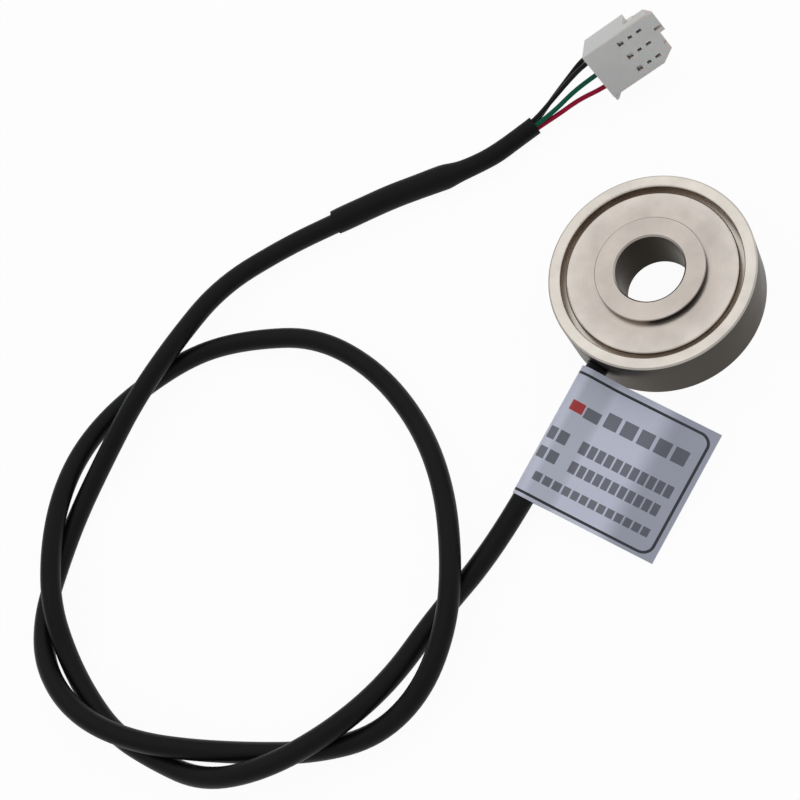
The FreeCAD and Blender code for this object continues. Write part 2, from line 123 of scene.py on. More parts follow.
# %% [markdown]
# ### Signal cable
#
# From the ring the cable goes through the label, turns back and over itself and comes to the sleeve.
# It lies on the table, with its middle at the height of its own radius. At each crossing the upper
# stretch climbs by a little more than one diameter and comes down again over a few centimetres. A
# physics run would find such a lay by itself, but not the one in the photograph, so the points are
# given.

# %% Signal cable
CABLE_RADIUS = 1.6
cable_route = [
    (-10.8, 0, 4.3), (-16.5, 0, 4.3), (-26.66, -1.4, 3.2), (-45.39, -2.95, 1.6), (-57.21, -2.05, 1.6),
    (-68.84, -2.63, 2.5), (-79.26, -1.06, 4.9), (-89.61, 3.84, 5.05), (-97.04, 11.27, 3),
    (-99.86, 20.61, 1.6), (-101.08, 28.4, 1.6), (-99.83, 35.95, 1.6), (-97.08, 43.04, 2.6),
    (-92.76, 49.37, 4.7), (-86.78, 55.27, 5.05), (-79.89, 60.4, 4.4), (-72.56, 63.98, 2.8),
    (-64.56, 64.68, 1.7), (-55.55, 62.27, 1.6), (-47.1, 58.15, 1.6), (-40.61, 51.71, 1.6),
    (-34.49, 42.6, 1.6), (-33.23, 30.96, 1.6), (-35.98, 19.07, 2.1), (-41.46, 8.74, 3.7),
    (-49.2, 0.3, 5.05), (-57.17, -5.36, 5.05), (-66.79, -7.95, 3.7), (-75.93, -5.96, 2.2),
    (-83.65, 0.66, 1.6), (-89.88, 8.79, 1.7), (-95.1, 16.13, 3.6), (-98.92, 22.76, 5),
    (-101.61, 30.71, 5.15), (-101.78, 38.33, 4.8), (-99.74, 45.65, 3.2), (-94.99, 51.34, 1.8),
    (-88.22, 54.63, 1.6), (-80.09, 57.76, 1.6), (-70.43, 59.49, 2.7), (-59.69, 60.31, 4.95),
    (-48.51, 60.91, 5.1), (-36.81, 61.95, 3), (-25.54, 57.43, 1.8), (-17.46, 52.11, 2.05),
    (-9.5, 46.87, 2.05), (-2, 41.1, 2.05),
]
cable = cord_curve("signal_cable", cable_route, [CABLE_RADIUS] * len(cable_route))
print("cable: %.1f mm" % line_length(cable))

# %% [markdown]
# ### Cores
#
# Four insulated cores leave the cable's end inside the sleeve and rise to the housing, each to its own
# way. They are the same kind of curve, thinner and with fewer sides, because nobody sees the facets
# of a wire that is under a millimetre thick.

# %% Cores
CORE_RADIUS = 0.375
core_routes = {
    "core_black_1": (
        (-1.74, 41.42, 2.46), (0.66, 39.51, 2.46), (5.37, 36.77, 2.26), (12.53, 34.19, 2.41),
        (16.9, 33.4, 3.2), (20.4, 32.1, 5.0), (23.11, 30.3, 7.26), (26.18, 28.34, 8.34)),
    "core_black_2": (
        (-1.74, 41.42, 1.64), (0.64, 39.52, 1.64), (5.37, 36.77, 1.44), (12.55, 34.18, 1.59),
        (16.9, 33.9, 2.5), (20.6, 33.0, 4.1), (24.6, 31.9, 5.95), (27.66, 29.93, 7.03)),
    "core_green": (
        (-2.26, 40.78, 2.46), (0.21, 38.82, 2.46), (5.03, 36.03, 2.26), (12.25, 33.42, 2.41),
        (16.1, 32.1, 2.7), (19.4, 31.0, 3.7), (22.89, 28.83, 5.21), (25.95, 26.86, 6.29)),
    "core_red": (
        (-2.26, 40.78, 1.64), (0.19, 38.83, 1.64), (5.03, 36.03, 1.44), (12.27, 33.41, 1.59),
        (15.8, 31.6, 2.0), (19.3, 30.0, 2.5), (22.66, 27.35, 3.16), (25.72, 25.38, 4.23)),
}
cores = {}
for name, route in core_routes.items():
    cores[name] = cord_curve("wire_" + name, route, [CORE_RADIUS] * len(route), sides=4)
    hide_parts(name)
    print("%s: %.1f mm" % (name, line_length(cores[name])))

# %% [markdown]
# ## Shrink sleeve
#
# The sleeve is black tube shrunk over the cable's end and on over the cores. It shows what lies under
# it: thick over the jacket, a small swelling where the jacket stops, thin over the cores. It could be
# turned from a cylinder and bent, but a curve with a radius at each point gives that profile and its
# small unevenness at once. It rides on the cable and isn't a cord itself, so it is then made a mesh.

# %% Sleeve
sleeve_points = [
    (-17.6, 52.35, 2.06, 1.96), (-16.6, 51.7, 2.06, 2.03), (-13.3, 49.55, 2.06, 1.98),
    (-9.3, 46.9, 2.06, 1.99), (-5.6, 44.0, 2.06, 1.97), (-3.0, 41.95, 2.06, 2.03),
    (-1.8, 40.95, 2.06, 2.02), (-0.6, 40.0, 2.06, 1.72), (0.6, 39.1, 2.04, 1.56),
    (3.2, 37.45, 1.96, 1.5), (5.6, 36.25, 1.88, 1.53), (8.8, 35.1, 1.9, 1.46), (12.4, 33.8, 2.0, 1.5),
]
sleeve_route = [point[:3] for point in sleeve_points]
sleeve_radii = [point[3] for point in sleeve_points]
sleeve = cord_curve("shrink_sleeve_piece", sleeve_route, sleeve_radii, sides=8)
bpy.ops.object.select_all(action="DESELECT")
sleeve.select_set(True)
bpy.context.view_layer.objects.active = sleeve
bpy.ops.object.convert(target="MESH")
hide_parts("shrink_sleeve")
print("sleeve:", len(sleeve.data.polygons), "faces")

# %% [markdown]
# ## Label
#
# The label is one strip of film that goes round the cable and is stuck to itself, so that it stands
# out as a flag. A thin box would do for the flag, but not for the wrap. So the strip's line is worked
# out first, as it looks along the cable: in along the upper ply, round the cable, and out again along
# the lower ply. The whole flag falls a little towards the table.

# %% Label line
LABEL_BORE = 1.68
LABEL_PLY = 0.15
LABEL_MEET = 3.4
LABEL_REACH = 20.75
LABEL_FALL = 1.7
PLY_STEPS = 14
WRAP_STEPS = 26


def on_ply(far, rise, tilt):
    """Point (out, up) at a distance along the tilted flag and a rise over its middle."""
    return (far * math.cos(tilt) - rise * math.sin(tilt), far * math.sin(tilt) + rise * math.cos(tilt))


def label_line():
    """Points (out, up) of the middle of the ply, from the flag's edge, round the cable, and back."""
    middle = LABEL_BORE + LABEL_PLY / 2
    tilt = -math.atan2(LABEL_FALL, LABEL_REACH)
    lean = math.acos(LABEL_BORE / LABEL_MEET)
    start = tilt + lean
    end = tilt - lean + 2 * math.pi
    reach = [LABEL_REACH + (LABEL_MEET - LABEL_REACH) * (i / PLY_STEPS) for i in range(PLY_STEPS)]
    angles = [start + (end - start) * i / WRAP_STEPS for i in range(WRAP_STEPS + 1)]
    upper = [on_ply(far, LABEL_PLY * 0.5, tilt) for far in reach]
    wrap = [(middle * math.cos(angle), middle * math.sin(angle)) for angle in angles]
    lower = [on_ply(far, -LABEL_PLY * 0.5, tilt) for far in reversed(reach)]
    return upper + wrap + lower


line = label_line()
print("label line:", len(line), "points")

# %% [markdown]
# ### Label sheet
#
# A grid is added flat, with a row of points for each point of the line, and each point is then put at
# its row's place on the line and its column's place along the cable. The flag isn't quite square to
# the cable, so SHIFT, SKEW and FAN slide it along: all of it, its outer edge, and one end of that edge
# more than the other. Solidify then gives the film its thickness, to both sides of the line.

# %% Label sheet
LABEL_FROM = Vector((-15.8, 0.0, 4.25))
LABEL_TO = Vector((-36.5, -2.25, 2.31))
LABEL_SHIFT = 0.13
LABEL_SKEW = 0.05
LABEL_FAN = 0.5
ALONG_STEPS = 24
FILM_SHARE = 0.9
along = (LABEL_TO - LABEL_FROM).normalized()
label_length = (LABEL_TO - LABEL_FROM).length
out = Vector((0, 0, 1)).cross(along).normalized()
up = along.cross(out)
last_row = len(line) - 1
bpy.ops.object.select_all(action="DESELECT")
bpy.ops.mesh.primitive_grid_add(x_subdivisions=ALONG_STEPS, y_subdivisions=last_row, size=1)
label = bpy.context.object
label.name = "label_flag"
label.data.name = "label_flag"
for vertex in label.data.vertices:
    column = round((vertex.co.x + 0.5) * ALONG_STEPS)
    row = round((vertex.co.y + 0.5) * last_row)
    x = label_length * column / ALONG_STEPS
    y, z = line[row]
    slide = LABEL_SHIFT + y / LABEL_REACH * (LABEL_SKEW + LABEL_FAN * column / ALONG_STEPS)
    place = LABEL_FROM + along * x + out * y + up * z + Vector((slide, 0, 0))
    vertex.co = place * MM
print("label sheet: %.1f mm along the cable" % label_length)

# %% Label thickness
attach(label, "root")
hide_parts("cable_label")
thicken = label.modifiers.new("film", "SOLIDIFY")
thicken.thickness = LABEL_PLY * FILM_SHARE * MM
thicken.offset = 0
bpy.ops.object.modifier_apply(modifier=thicken.name)
print("label:", len(label.data.polygons), "faces")

# %% [markdown]
# ### Print map
#
# The print is only on the face that is seen. An unwrap would find a map by itself, but here the film's
# own directions are known, so the map is worked out: u runs across from the cable to the flag's edge,
# v runs along the cable, and the slide is taken out again, so that the print follows the film's edges.
# Faces that carry no print are put off the map.

# %% Print map
LABEL_EDGE = LABEL_BORE + LABEL_PLY
OFF_MAP = (-1, -1)
LEAST_FACING = 0.05
print_map = label.data.uv_layers.new(name="print")
label.data.uv_layers.active = print_map
printed_faces = 0
for face in label.data.polygons:
    is_seen = face.normal.dot(up) > LEAST_FACING
    printed_faces += is_seen
    for corner in face.loop_indices:
        place = label.data.vertices[label.data.loops[corner].vertex_index].co / MM - LABEL_FROM
        share = place.dot(out) / LABEL_REACH
        u = (place.dot(out) + LABEL_EDGE) / (LABEL_REACH + LABEL_EDGE)
        v = (place.dot(along) + LABEL_SHIFT + LABEL_SKEW * share) / (label_length - LABEL_FAN * share)
        print_map.data[corner].uv = (u, v) if is_seen else OFF_MAP
while len(label.data.uv_layers) > 1:
    spare = next(layer for layer in label.data.uv_layers if layer.name != "print")
    label.data.uv_layers.remove(spare)
print("faces on the print map:", printed_faces)

# %% [markdown]
# ## Connector housing
#
# The housing is one moulding of nylon with six ways. It could be built again from a box, but the CAD
# already has its ways and windows, so its mesh is copied. A CAD mesh is loose triangles, and the
# copy's are merged first, so that neighbours share their corners and no seam opens when one moves.

# %% Housing copy
MERGE = 0.000001
housing = nodes["connector_housing"].copy()
housing.data = housing.data.copy()
housing.name = "housing_piece"
bpy.context.scene.collection.objects.link(housing)
bpy.ops.object.select_all(action="DESELECT")
housing.select_set(True)
bpy.context.view_layer.objects.active = housing
if housing.data.has_custom_normals:
    bpy.ops.mesh.customdata_custom_splitnormals_clear()
bpy.ops.object.mode_set(mode="EDIT")
bpy.ops.mesh.select_all(action="SELECT")
bpy.ops.mesh.remove_doubles(threshold=MERGE)
bpy.ops.object.mode_set(mode="OBJECT")
print("housing:", len(housing.data.vertices), "vertices")

# %% [markdown]
# The housing lies turned and tipped, so it is reshaped in its own axes: x runs to the mating end, y
# across the rows, and z out of the face that is seen.

# %% Housing axes
HOUSING_CORNER = Vector((22.6, 24.82, 2.93))
HOUSING_DEPTH = 5.54
housing_x = Vector((0.807, -0.518, 0.283)).normalized()
housing_y = Vector((0.090, 0.582, 0.808))
housing_y = (housing_y - housing_x * housing_y.dot(housing_x)).normalized()
housing_z = housing_x.cross(housing_y)


def to_housing(place):
    """A place in the frame, in the housing's own axes."""
    place = place - HOUSING_CORNER
    return place.dot(housing_x), place.dot(housing_y), HOUSING_DEPTH + place.dot(housing_z)


def from_housing(x, y, z):
    """A place in the housing's own axes, in the frame."""
    return housing_x * x + housing_y * y + housing_z * (z - HOUSING_DEPTH) + HOUSING_CORNER


print("the seen face looks along", tuple(round(v, 3) for v in housing_z))

# %% [markdown]
# ### Draft and steps of the moulding
#
# A mould gives its piece draft and small steps. Both ends of this one lean back from the seen face,
# the slots between the lobes are short, the back layer steps in behind the far flank, and the lobes
# get thin. Lattices or edit mode could shape it, but each change is a move of a few known corners, so
# a function says where each corner goes.

# %% Ends and slots
WIRE_END = 1.4
WIRE_LEAN = 0.6
MATING_START = 8.9
MATING_RUN = 1.6
MATING_LEAN = 1.2
SLOT_LIMIT = 10.1
SLOT_MIDDLES = (2.93, 5.47)
SLOT_REACH = 0.3
SLOT_START = 10.5


def is_slot_corner(x, y):
    """Whether a corner is at the closed end of one of the two slots."""
    off_middle = min(abs(y - middle) for middle in SLOT_MIDDLES)
    return MATING_START < x < SLOT_LIMIT and off_middle < SLOT_REACH


def mating_lean(x, z):
    """How far the mating end leans back, by how near the place is to it and how deep."""
    nearness = min(max((x - MATING_START) / MATING_RUN, 0.0), 1.0)
    return MATING_LEAN * (HOUSING_DEPTH - z) / HOUSING_DEPTH * nearness


print("leans: %.1f mm at the wires, %.1f mm at the mating end" % (WIRE_LEAN, MATING_LEAN))

# %% Far flank and lobes
STEP_START = 6.85
STEP_CORNER = 3.1
STEP_REACH = 0.1
STEP_FACE = 3.9
BACK_LAYER = 3.15
FLANK_OUTER = 7.95
BACK_WALL_LOW = 7.0
BACK_WALL_SPLIT = 7.8
BACK_WALL_HIGH = 8.05
BACK_WALL_OUTER = 6.65
BACK_WALL_INNER = 6.6
BACK_WALL_SQUEEZE = 0.4
LOBE_START = 11.05
LOBE_THIN = 0.3
LOBE_TAPER = 0.28


def moulded(x, y, z):
    """Where a corner of the housing goes, in the housing's own axes."""
    new_x, new_y, new_z = x, y, z
    if x < WIRE_END:
        new_x = x - WIRE_LEAN * max(z, 0.0) / HOUSING_DEPTH
    if is_slot_corner(x, y):
        new_x = SLOT_START
    if x > STEP_START and y > FLANK_OUTER and abs(z - STEP_CORNER) < STEP_REACH:
        new_z = STEP_FACE
    if x > STEP_START and z < BACK_LAYER and BACK_WALL_LOW < y < BACK_WALL_HIGH:
        wall = BACK_WALL_OUTER if y > BACK_WALL_SPLIT else BACK_WALL_INNER
        new_y = wall + (y - BACK_WALL_LOW) * BACK_WALL_SQUEEZE
    if x > LOBE_START:
        new_z = HOUSING_DEPTH - (HOUSING_DEPTH - z) * LOBE_THIN
        new_y = y - LOBE_TAPER * (HOUSING_DEPTH - new_z) if y > BACK_WALL_LOW else y
    new_x -= mating_lean(new_x, new_z)
    return new_x, new_y, new_z


# %% Reshape the housing
SMOOTH_ANGLE = 25
farthest = 0.0
for vertex in housing.data.vertices:
    old = vertex.co / MM
    new = from_housing(*moulded(*to_housing(old)))
    farthest = max(farthest, (new - old).length)
    vertex.co = new * MM
bpy.ops.object.shade_smooth_by_angle(angle=math.radians(SMOOTH_ANGLE))
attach(housing, "root")
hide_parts("connector_housing")
print("housing: corners moved by up to %.1f mm" % farthest)

# %% [markdown]
# ## Materials
#
# Each finish is a Principled BSDF fed by a few procedural nodes. They could be wired by hand in the
# shader editor. In code a small builder keeps the wiring short: it adds a node, sets what is given as
# a value and links what is given as a socket.

# %% Node helpers
def node(tree, kind, inputs=None, **settings):
    made = tree.nodes.new(kind)
    for key, value in settings.items():
        setattr(made, key, value)
    for key, value in (inputs or {}).items():
        if isinstance(value, bpy.types.NodeSocket):
            tree.links.new(value, made.inputs[key])
        else:
            made.inputs[key].default_value = value
    return made


def math_node(tree, operation, a, b=0.0):
    return node(tree, "ShaderNodeMath", {0: a, 1: b}, operation=operation).outputs[0]


def mix_colour(tree, factor, a, b):
    return node(tree, "ShaderNodeMix", {0: factor, 6: a, 7: b}, data_type="RGBA").outputs[2]


def scale_colour(tree, colour, shade):
    return node(tree, "ShaderNodeVectorMath", {0: colour, "Scale": shade}, operation="SCALE").outputs[0]


# %% Pattern helpers
def map_range(tree, value, low, high, to_low=0.0, to_high=1.0, kind="LINEAR"):
    inputs = {0: value, 1: low, 2: high, 3: to_low, 4: to_high}
    return node(tree, "ShaderNodeMapRange", inputs, interpolation_type=kind).outputs[0]


def noise(tree, place, scale, detail):
    return node(tree, "ShaderNodeTexNoise", {"Vector": place, "Scale": scale, "Detail": detail}).outputs[0]


def bump_normal(tree, height, strength, depth):
    inputs = {"Height": height, "Strength": strength, "Distance": depth * MM}
    return node(tree, "ShaderNodeBump", inputs).outputs[0]


# %% [markdown]
# A new finish starts with the shader and the output only. A piece is dressed by giving it one material
# for all its faces.

# %% Finish helpers
def new_finish(name):
    material = bpy.data.materials.new(name)
    material.use_nodes = True
    tree = material.node_tree
    tree.nodes.clear()
    shader = tree.nodes.new("ShaderNodeBsdfPrincipled")
    output = tree.nodes.new("ShaderNodeOutputMaterial")
    tree.links.new(shader.outputs["BSDF"], output.inputs["Surface"])
    return material, tree, shader


def dress(objects, material):
    for piece in objects:
        piece.data.materials.clear()
        piece.data.materials.append(material)
    print(material.name, "on", ", ".join(piece.name for piece in objects))


# %% [markdown]
# An effect that several finishes share is a node group: it is built once, and each finish that places
# it gives its own values to the named sockets.

# %% Group helper
def new_group(name, inputs, outputs):
    """A shader group with its named sockets, and its input and output nodes."""
    group = bpy.data.node_groups.new(name, "ShaderNodeTree")
    for way, sockets in (("INPUT", inputs), ("OUTPUT", outputs)):
        for socket, kind in sockets.items():
            group.interface.new_socket(socket, in_out=way, socket_type="NodeSocket" + kind)
    print("group", name + ":", len(inputs), "inputs,", len(outputs), "outputs")
    return group, group.nodes.new("NodeGroupInput"), group.nodes.new("NodeGroupOutput")


# %% [markdown]
# ### Uneven surface
#
# No real surface has one tone and one gloss: a faint cloud changes both, and a fine grain breaks the
# reflections. A photographed texture would do that for one piece, but noise does it for all of them
# at their own scale. So steel, jackets, mouldings and film all place this group.

# %% Uneven surface group
CLOUD_LOW = 0.3
CLOUD_HIGH = 0.7
GRAIN_DETAIL = 3.0
uneven_values = ("Cloud Scale", "Cloud Detail", "Shade Low", "Shade High", "Rough Low", "Rough High",
                 "Grain Scale")
uneven, uneven_in, uneven_out = new_group(
    "uneven_surface", {"Place": "Vector", **dict.fromkeys(uneven_values, "Float")},
    dict.fromkeys(("Cloud", "Shade", "Roughness", "Grain"), "Float"))
given = uneven_in.outputs
cloud = noise(uneven, given["Place"], given["Cloud Scale"], given["Cloud Detail"])
shade = map_range(uneven, cloud, CLOUD_LOW, CLOUD_HIGH, given["Shade Low"], given["Shade High"])
rough = map_range(uneven, cloud, CLOUD_LOW, CLOUD_HIGH, given["Rough Low"], given["Rough High"])
grain = noise(uneven, given["Place"], given["Grain Scale"], GRAIN_DETAIL)
for socket, source in (("Cloud", cloud), ("Shade", shade), ("Roughness", rough), ("Grain", grain)):
    uneven.links.new(source, uneven_out.inputs[socket])

# %% [markdown]
# ### Turning marks
#
# A lathe leaves fine marks on every face: rings about the axis on flat faces, and lines round the axis
# on walls. An image of scratches would need the ring to be unwrapped. Noise that is read along one
# number needs no map: along the radius it makes rings, and along the height it makes lines. Which way
# the face looks chooses between the two. The radius and that choice are put out as well, because the
# ring's tones and its painted shade and light use them.

# %% Turning marks group
MARK_SCALE = 9000.0
MARK_DETAIL = 2.0
WALL_SEED = 7.0
WALL_FACING = 0.35
FLAT_FACING = 0.8
turning, turning_in, turning_out = new_group(
    "turning_marks", {"Place": "Vector", "Facing": "Float"},
    dict.fromkeys(("Radius", "Flat", "Marks"), "Float"))
split = node(turning, "ShaderNodeSeparateXYZ", {0: turning_in.outputs["Place"]})
x_squared = math_node(turning, "MULTIPLY", split.outputs[0], split.outputs[0])
y_squared = math_node(turning, "MULTIPLY", split.outputs[1], split.outputs[1])
radius = math_node(turning, "SQRT", math_node(turning, "ADD", x_squared, y_squared))
facing = math_node(turning, "ABSOLUTE", turning_in.outputs["Facing"])
flat = map_range(turning, facing, WALL_FACING, FLAT_FACING)
ring_place = math_node(turning, "MULTIPLY", radius, MARK_SCALE)
line_place = math_node(turning, "MULTIPLY", split.outputs[2], MARK_SCALE)
rings = node(turning, "ShaderNodeCombineXYZ", {0: ring_place, 1: 0.0, 2: 0.0}).outputs[0]
lines = node(turning, "ShaderNodeCombineXYZ", {0: line_place, 1: WALL_SEED, 2: 0.0}).outputs[0]
ring_marks = noise(turning, rings, 1.0, MARK_DETAIL)
line_marks = noise(turning, lines, 1.0, MARK_DETAIL)
marks = node(turning, "ShaderNodeMix", {0: flat, 2: line_marks, 3: ring_marks}).outputs[0]
for socket, source in (("Radius", radius), ("Flat", flat), ("Marks", marks)):
    turning.links.new(source, turning_out.inputs[socket])

# %% [markdown]
# ### Painted light and shade on the ring
#
# Turned steel has hardly a tone of its own: it shows its surroundings, and a plain white room gives
# the walls too little to show. So each zone gets the tone that it has in the photograph. The outer wall
# is painted dark as shade, and the boss wall and the bore are painted nearly black as shade. The zones
# are told apart by the radius, and one side of the boss wall gets painted light. They could be separate
# materials, but then a zone's edge would have to be an edge of the mesh.

# %% Ring zones
HUB_WALL = 6.5
SLOT_WALL = 10.0
OUTER_WALL = 14.6
RIM_FROM = 9.5
RIM_FULL = 13.5
# One side of the boss wall gets painted light: its direction, and where that light begins and is full.
LIT_SIDE = (-0.574, 0.819)
LIT_FROM = -0.5
LIT_FULL = 1.0


def zone_tone_and_painted_shade(tree, place, radius, flat, tones_and_painted_shade):
    """The tone of a turned piece with its painted shade and light, by its radius and which way the face
    looks.
    """
    split = node(tree, "ShaderNodeSeparateXYZ", {0: place})
    towards = math_node(tree, "ADD", math_node(tree, "MULTIPLY", split.outputs[0], LIT_SIDE[0]),
                        math_node(tree, "MULTIPLY", split.outputs[1], LIT_SIDE[1]))
    lit = map_range(tree, towards, LIT_FROM * MM, LIT_FULL * MM)
    # The boss wall is painted dark as shade, and one side of it gets painted light.
    hub = mix_colour(tree, lit, tones_and_painted_shade["hub"], tones_and_painted_shade["hub_lit"])
    wall = mix_colour(tree, math_node(tree, "GREATER_THAN", radius, HUB_WALL * MM), tones_and_painted_shade["bore"], hub)
    wall = mix_colour(tree, math_node(tree, "GREATER_THAN", radius, SLOT_WALL * MM), wall, tones_and_painted_shade["slot"])
    wall = mix_colour(tree, math_node(tree, "GREATER_THAN", radius, OUTER_WALL * MM), wall, tones_and_painted_shade["wall"])
    rim = map_range(tree, radius, RIM_FROM * MM, RIM_FULL * MM)
    return mix_colour(tree, flat, wall, mix_colour(tree, rim, tones_and_painted_shade["diaphragm"], tones_and_painted_shade["rim"]))


# %% [markdown]
# ### Turned steel
#
# Turned steel shines in streaks that fan out from the axis, because its marks run round it. Roughness
# alone can't do that, so the shader is anisotropic, with a tangent that runs round the axis. The marks
# also change the tone a little and give a very low bump.

# %% Turned steel
STEEL_CLOUD = 260.0
STEEL_CLOUD_DETAIL = 3.0
STEEL_SHADES = (0.86, 1.08)
STEEL_GLOSS = (-0.04, 0.05)
MARK_SHADES = (0.93, 1.05)
MARK_STRENGTH = 0.12
MARK_DEPTH = 0.04
STEEL_EDGE_TINT = (0.67, 0.65, 0.63, 1)
STREAKS = 0.6


def turned_steel(name, tones_and_painted_shade, roughness):
    material, tree, shader = new_finish(name)
    place = node(tree, "ShaderNodeTexCoord").outputs["Object"]
    normal = node(tree, "ShaderNodeNewGeometry").outputs["Normal"]
    facing = node(tree, "ShaderNodeSeparateXYZ", {0: normal}).outputs[2]
    lathe = node(tree, "ShaderNodeGroup", {"Place": place, "Facing": facing}, node_tree=turning).outputs
    surface = node(tree, "ShaderNodeGroup", {
        "Place": place, "Cloud Scale": STEEL_CLOUD, "Cloud Detail": STEEL_CLOUD_DETAIL,
        "Shade Low": STEEL_SHADES[0], "Shade High": STEEL_SHADES[1],
        "Rough Low": roughness + STEEL_GLOSS[0], "Rough High": roughness + STEEL_GLOSS[1],
    }, node_tree=uneven).outputs
    # This tone carries the painted shade on the ring's walls and the painted light on one side of the
    # boss.
    tone = zone_tone_and_painted_shade(tree, place, lathe["Radius"], lathe["Flat"], tones_and_painted_shade)
    fine = map_range(tree, lathe["Marks"], CLOUD_LOW, CLOUD_HIGH, *MARK_SHADES)
    shade = math_node(tree, "MULTIPLY", surface["Shade"], fine)
    round_axis = node(tree, "ShaderNodeTangent", direction_type="RADIAL", axis="Z").outputs[0]
    tree.links.new(scale_colour(tree, tone, shade), shader.inputs["Base Color"])
    tree.links.new(surface["Roughness"], shader.inputs["Roughness"])
    tree.links.new(bump_normal(tree, lathe["Marks"], MARK_STRENGTH, MARK_DEPTH), shader.inputs["Normal"])
    tree.links.new(round_axis, shader.inputs["Tangent"])
    shader.inputs["Metallic"].default_value = 1.0
    shader.inputs["Specular Tint"].default_value = STEEL_EDGE_TINT
    shader.inputs["Anisotropic"].default_value = STREAKS
    return material


# %% Ring and cover
# Painted shade: the outer wall is dark, and the boss wall and the bore are nearly black.
ring_tones_and_painted_shade = {
    # The lit side of the boss wall is painted light.
    "diaphragm": (0.58, 0.515, 0.465, 1),
    "rim": (0.72, 0.665, 0.6, 1),
    "wall": (0.055, 0.049, 0.044, 1),
    "slot": (0.55, 0.48, 0.42, 1),
    "hub": (0.02, 0.016, 0.014, 1),
    "hub_lit": (0.3, 0.25, 0.205, 1),
    "bore": (0.009, 0.0075, 0.006, 1),
}
COVER_TONE = (0.6, 0.58, 0.55, 1)
ring_steel = turned_steel("ring_steel", ring_tones_and_painted_shade, 0.33)
cover_steel = turned_steel("cover_steel", dict.fromkeys(ring_tones_and_painted_shade, COVER_TONE), 0.36)
dress([nodes["sensing_body"]], ring_steel)
dress([nodes["base_cover"]], cover_steel)

# %% [markdown]
# ### Plain finishes
#
# Jackets, sleeve, mouldings and small metal parts differ in colour, gloss and fine texture. Each could
# have a material of its own design, but one builder that takes those values is easier to compare and
# to change. The grain is given by its size in millimetres. Jacket, sleeve and cores get a low specular
# level, because a full sheen would wash out their deep colours, and nylon lets a little light in.

# %% Plain finish builder
PLAIN_CLOUD = 160.0
PLAIN_CLOUD_DETAIL = 2.0
GLOSS_SPREAD = 0.04
GRAIN_OF_ONE_MM = 250.0
GRAIN_DEPTH = 0.03
SCATTER_DEPTH = 0.0008


def plain_finish(name, tone, roughness, grain_mm=0.4, bump=0.1, mottle=0.05, metallic=0.0, gloss=0.5,
                 scatter=0.0):
    material, tree, shader = new_finish(name)
    surface = node(tree, "ShaderNodeGroup", {
        "Place": node(tree, "ShaderNodeTexCoord").outputs["Object"],
        "Cloud Scale": PLAIN_CLOUD, "Cloud Detail": PLAIN_CLOUD_DETAIL,
        "Shade Low": 1 - mottle, "Shade High": 1 + mottle,
        "Rough Low": roughness - GLOSS_SPREAD, "Rough High": roughness + GLOSS_SPREAD,
        "Grain Scale": GRAIN_OF_ONE_MM / grain_mm,
    }, node_tree=uneven).outputs
    tree.links.new(scale_colour(tree, tone, surface["Shade"]), shader.inputs["Base Color"])
    tree.links.new(surface["Roughness"], shader.inputs["Roughness"])
    tree.links.new(bump_normal(tree, surface["Grain"], bump, GRAIN_DEPTH), shader.inputs["Normal"])
    shader.inputs["Metallic"].default_value = metallic
    shader.inputs["Specular IOR Level"].default_value = gloss
    if scatter:
        shader.inputs["Subsurface Weight"].default_value = scatter
        shader.inputs["Subsurface Scale"].default_value = SCATTER_DEPTH
    return material


# %% Cable, sleeve and cores
JACKET_BLACK = (0.004, 0.004, 0.0042)
jacket = plain_finish("cable_jacket", JACKET_BLACK, 0.42, grain_mm=0.3, bump=0.15, mottle=0.15, gloss=0.12)
shrink = plain_finish("sleeve_black", JACKET_BLACK, 0.5, grain_mm=0.5, bump=0.35, mottle=0.2, gloss=0.12)
core_finishes = {
    "core_red": plain_finish("core_red", (0.31, 0.001, 0.03), 0.4, gloss=0.12),
    "core_green": plain_finish("core_green", (0.0005, 0.088, 0.045), 0.4, gloss=0.12),
    "core_black": plain_finish("core_black", (0.005, 0.005, 0.0055), 0.4, gloss=0.15),
}
dress([cable], jacket)
dress([sleeve], shrink)
for name, finish in core_finishes.items():
    dress([core for key, core in cores.items() if key.startswith(name)], finish)
    dress([inner for key, inner in nodes.items() if key.startswith("inner_" + name)], finish)

# %% [markdown]
# The small parts are inside the ring or the housing and hardly seen, and the photograph doesn't tell
# their colours. So they get the usual finishes of such parts: silicone, brass, enamel, film, laminate,
# ceramic and tin.

# %% Housing and small parts
nylon = plain_finish("housing_nylon", (0.56, 0.555, 0.54), 0.42, grain_mm=0.25, bump=0.12, mottle=0.03,
                     scatter=0.3)
silicone = plain_finish("soft_seal", (0.6, 0.6, 0.58), 0.5)
tin = plain_finish("terminal_tin", (0.62, 0.6, 0.56), 0.3, metallic=1.0)
brass = plain_finish("ferrule_brass", (0.6, 0.42, 0.18), 0.3, metallic=1.0)
enamel = plain_finish("lead_enamel", (0.45, 0.12, 0.04), 0.3)
gauge_film = plain_finish("gauge_film", (0.6, 0.33, 0.09), 0.4)
laminate = plain_finish("board_laminate", (0.01, 0.12, 0.05), 0.4)
ceramic = plain_finish("chip_ceramic", (0.03, 0.03, 0.032), 0.5)
dress([housing], nylon)
dress([nodes["cover_seal"], nodes["exit_seal"]], silicone)
dress([nodes["cable_ferrule"]], brass)
dress([nodes["terminal_board"]], laminate)
dress([nodes["span_resistor"], nodes["zero_resistor"]], ceramic)
dress([nodes["crimp_terminal_%d" % i] for i in range(1, 5)], tin)
dress([nodes["strain_gauge_%d" % i] for i in range(1, 5)], gauge_film)
dress([nodes["gauge_lead_%d" % i] for i in range(1, 5)], enamel)

